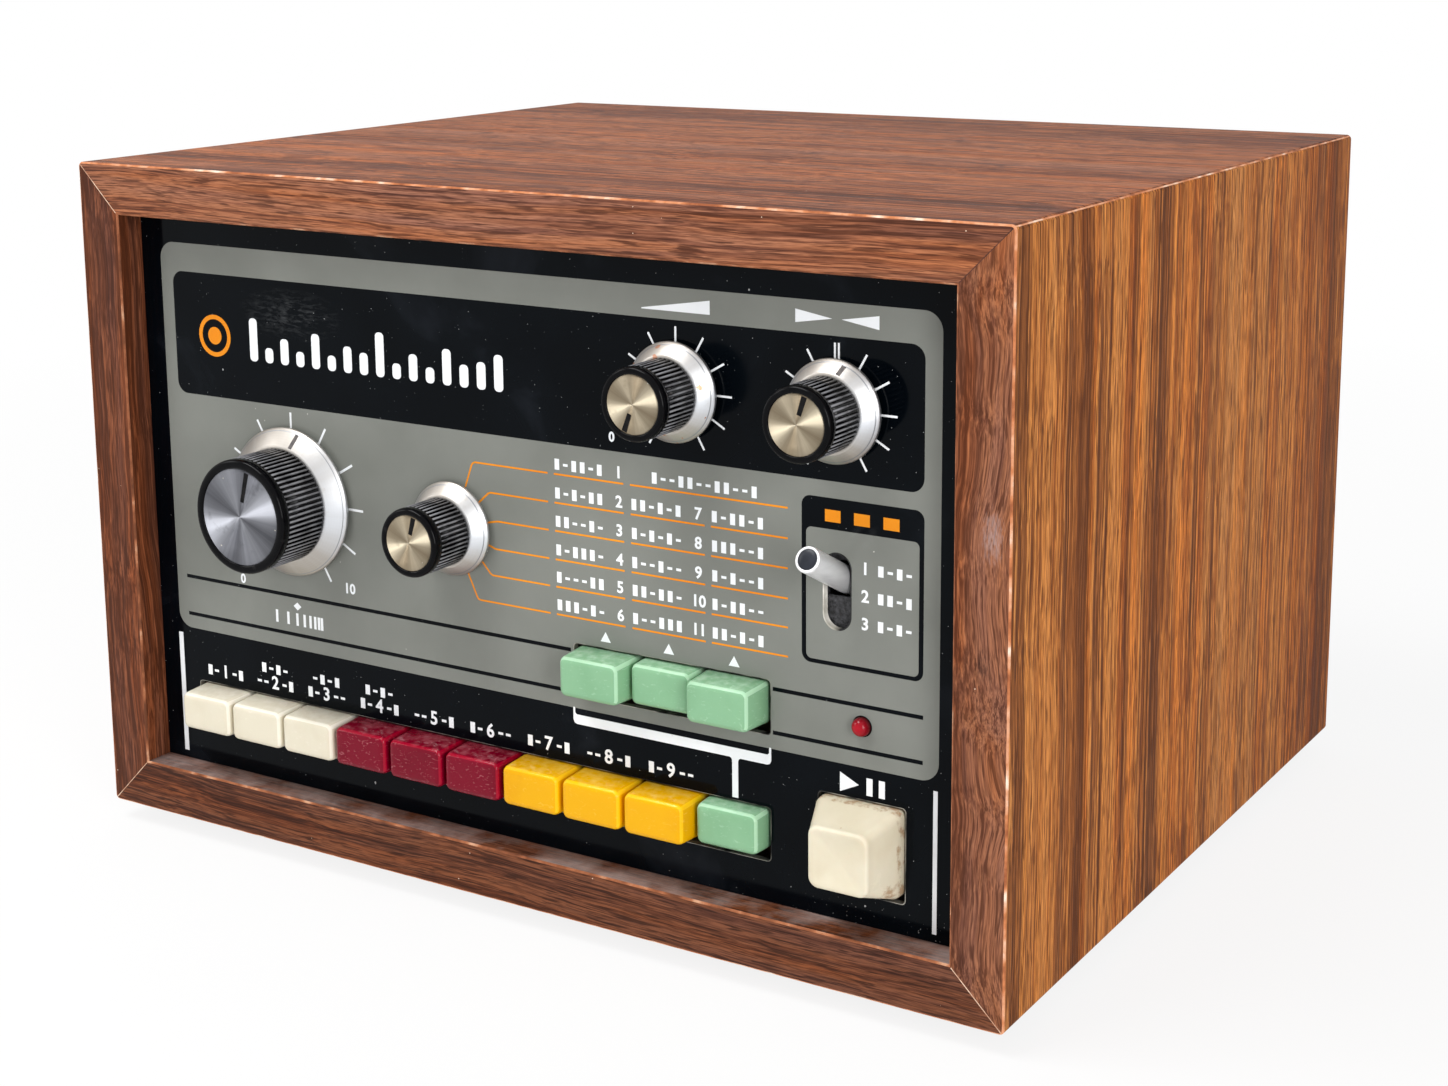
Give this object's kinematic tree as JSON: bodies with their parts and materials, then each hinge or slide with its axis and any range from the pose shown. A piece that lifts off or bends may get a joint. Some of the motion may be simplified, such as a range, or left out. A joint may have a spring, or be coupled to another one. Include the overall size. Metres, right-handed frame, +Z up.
{
  "type": "table-top drum machine",
  "caption": "Table-top analogue drum machine: mitred wooden cabinet, recessed metal front panel with dials, latching keys, a toggle and a large start key.",
  "frame": {"origin": "centre of the footprint of the whole object, at the height of the surface that its feet stand on", "axes": "+X to the right of a person facing the dials, +Y from the front panel towards the back, +Z up"},
  "size_m": [0.302, 0.2658, 0.204],
  "materials": {
    "walnut": "satin veneer",
    "pine": "raw",
    "panel_paint": "gloss print, black with a grey field",
    "rear_paint": "satin",
    "zinc_steel": "zinc plated",
    "screw_steel": "satin",
    "circuit_board": "satin",
    "components": "mixed",
    "core_steel": "lacquered",
    "winding": "taped",
    "rubber_black": "matte",
    "nickel": "satin",
    "black_plastic": "gloss",
    "switch_plastic": "matte",
    "switch_metal": "zinc plated",
    "paper_board": "matte",
    "spun_aluminium": "spun",
    "champagne_aluminium": "spun and tinted",
    "shaft_steel": "turned",
    "mint_plastic": "gloss",
    "cream_plastic": "gloss, aged",
    "burgundy_plastic": "gloss",
    "yellow_plastic": "gloss",
    "lever_steel": "satin",
    "red_lens": "clear gloss",
    "shutter_black": "grained"
  },
  "bodies": {
    "cabinet": {"top_board": "walnut", "bottom_board": "walnut", "left_board": "walnut", "right_board": "walnut", "corner_blocks": "pine", "front_panel": "panel_paint", "rear_panel": "rear_paint", "case_screws": "screw_steel", "rubber_feet": "rubber_black", "chassis_tray": "zinc_steel", "panel_spacers": "zinc_steel", "logic_board": "circuit_board", "voice_board": "circuit_board", "board_components": "components", "board_pillars": "zinc_steel", "transformer_core": "core_steel", "transformer_coil": "winding", "jack_sockets": "nickel", "fuse_holder": "black_plastic", "cord_gland": "black_plastic", "upper_key_bank": "switch_metal", "lower_key_bank": "switch_metal", "start_switch": "switch_plastic", "toggle_switch": "switch_metal", "potentiometers": "nickel", "selector_switch": "paper_board", "lamp": "red_lens"},
    "tempo_dial": {"tempo_barrel": "black_plastic", "tempo_skirt": "spun_aluminium", "tempo_cap": "spun_aluminium", "tempo_shaft": "shaft_steel"},
    "volume_dial": {"volume_barrel": "black_plastic", "volume_skirt": "spun_aluminium", "volume_cap": "champagne_aluminium", "volume_shaft": "shaft_steel"},
    "balance_dial": {"balance_barrel": "black_plastic", "balance_skirt": "spun_aluminium", "balance_cap": "champagne_aluminium", "balance_shaft": "shaft_steel"},
    "selector_dial": {"selector_barrel": "black_plastic", "selector_skirt": "spun_aluminium", "selector_cap": "champagne_aluminium", "selector_shaft": "shaft_steel"},
    "upper_key_1_body": {"upper_key_1": "mint_plastic"},
    "upper_key_2_body": {"upper_key_2": "mint_plastic"},
    "upper_key_3_body": {"upper_key_3": "mint_plastic"},
    "lower_key_1_body": {"lower_key_1": "cream_plastic"},
    "lower_key_2_body": {"lower_key_2": "cream_plastic"},
    "lower_key_3_body": {"lower_key_3": "cream_plastic"},
    "lower_key_4_body": {"lower_key_4": "burgundy_plastic"},
    "lower_key_5_body": {"lower_key_5": "burgundy_plastic"},
    "lower_key_6_body": {"lower_key_6": "burgundy_plastic"},
    "lower_key_7_body": {"lower_key_7": "yellow_plastic"},
    "lower_key_8_body": {"lower_key_8": "yellow_plastic"},
    "lower_key_9_body": {"lower_key_9": "yellow_plastic"},
    "lower_key_10_body": {"lower_key_10": "mint_plastic"},
    "start_key_body": {"start_key": "cream_plastic"},
    "lever_body": {"toggle_lever": "lever_steel", "toggle_tip": "black_plastic"},
    "shutter_body": {"toggle_shutter": "shutter_black"}
  },
  "joints": [
    {"name": "tempo_turn", "type": "hinge", "parent": "cabinet", "child": "tempo_dial", "pos_m": [-0.07985, -0.1101, 0.1084], "axis": [0, 1, 0], "range_deg": [-164, 136]},
    {"name": "volume_turn", "type": "hinge", "parent": "cabinet", "child": "volume_dial", "pos_m": [0.05255, -0.1101, 0.1541], "axis": [0, 1, 0], "range_deg": [0, 310]},
    {"name": "balance_turn", "type": "hinge", "parent": "cabinet", "child": "balance_dial", "pos_m": [0.09955, -0.1101, 0.1541], "axis": [0, 1, 0], "range_deg": [-168, 132]},
    {"name": "selector_turn", "type": "hinge", "parent": "cabinet", "child": "selector_dial", "pos_m": [-0.02085, -0.1101, 0.1084], "axis": [0, 1, 0], "range_deg": [0, 150]},
    {"name": "upper_key_1_press", "type": "slide", "parent": "cabinet", "child": "upper_key_1_body", "axis": [0, 1, 0], "range_m": [0, 0.0055]},
    {"name": "upper_key_2_press", "type": "slide", "parent": "cabinet", "child": "upper_key_2_body", "axis": [0, 1, 0], "range_m": [-0.0044, 0.0011]},
    {"name": "upper_key_3_press", "type": "slide", "parent": "cabinet", "child": "upper_key_3_body", "axis": [0, 1, 0], "range_m": [0, 0.0055]},
    {"name": "lower_key_1_press", "type": "slide", "parent": "cabinet", "child": "lower_key_1_body", "axis": [0, 1, 0], "range_m": [0, 0.0055]},
    {"name": "lower_key_2_press", "type": "slide", "parent": "cabinet", "child": "lower_key_2_body", "axis": [0, 1, 0], "range_m": [0, 0.0055]},
    {"name": "lower_key_3_press", "type": "slide", "parent": "cabinet", "child": "lower_key_3_body", "axis": [0, 1, 0], "range_m": [0, 0.0055]},
    {"name": "lower_key_4_press", "type": "slide", "parent": "cabinet", "child": "lower_key_4_body", "axis": [0, 1, 0], "range_m": [0, 0.0055]},
    {"name": "lower_key_5_press", "type": "slide", "parent": "cabinet", "child": "lower_key_5_body", "axis": [0, 1, 0], "range_m": [0, 0.0055]},
    {"name": "lower_key_6_press", "type": "slide", "parent": "cabinet", "child": "lower_key_6_body", "axis": [0, 1, 0], "range_m": [0, 0.0055]},
    {"name": "lower_key_7_press", "type": "slide", "parent": "cabinet", "child": "lower_key_7_body", "axis": [0, 1, 0], "range_m": [0, 0.0055]},
    {"name": "lower_key_8_press", "type": "slide", "parent": "cabinet", "child": "lower_key_8_body", "axis": [0, 1, 0], "range_m": [0, 0.0055]},
    {"name": "lower_key_9_press", "type": "slide", "parent": "cabinet", "child": "lower_key_9_body", "axis": [0, 1, 0], "range_m": [0, 0.0055]},
    {"name": "lower_key_10_press", "type": "slide", "parent": "cabinet", "child": "lower_key_10_body", "axis": [0, 1, 0], "range_m": [-0.0044, 0.0011]},
    {"name": "start_key_press", "type": "slide", "parent": "cabinet", "child": "start_key_body", "axis": [0, 1, 0], "range_m": [0, 0.004], "stiffness_N_per_m": 120, "springref_m": -0.003},
    {"name": "lever_flip", "type": "hinge", "parent": "cabinet", "child": "lever_body", "pos_m": [0.09975, -0.1016, 0.1079], "axis": [1, 0, 0], "range_deg": [0, 54]},
    {"name": "shutter_slide", "type": "slide", "parent": "cabinet", "child": "shutter_body", "axis": [0, 0, -1], "range_m": [0, 0.006]}
  ],
  "couplings": [
    {"joint": "shutter_slide", "follows": "lever_flip", "m_per_rad": 0.006271}
  ]
}
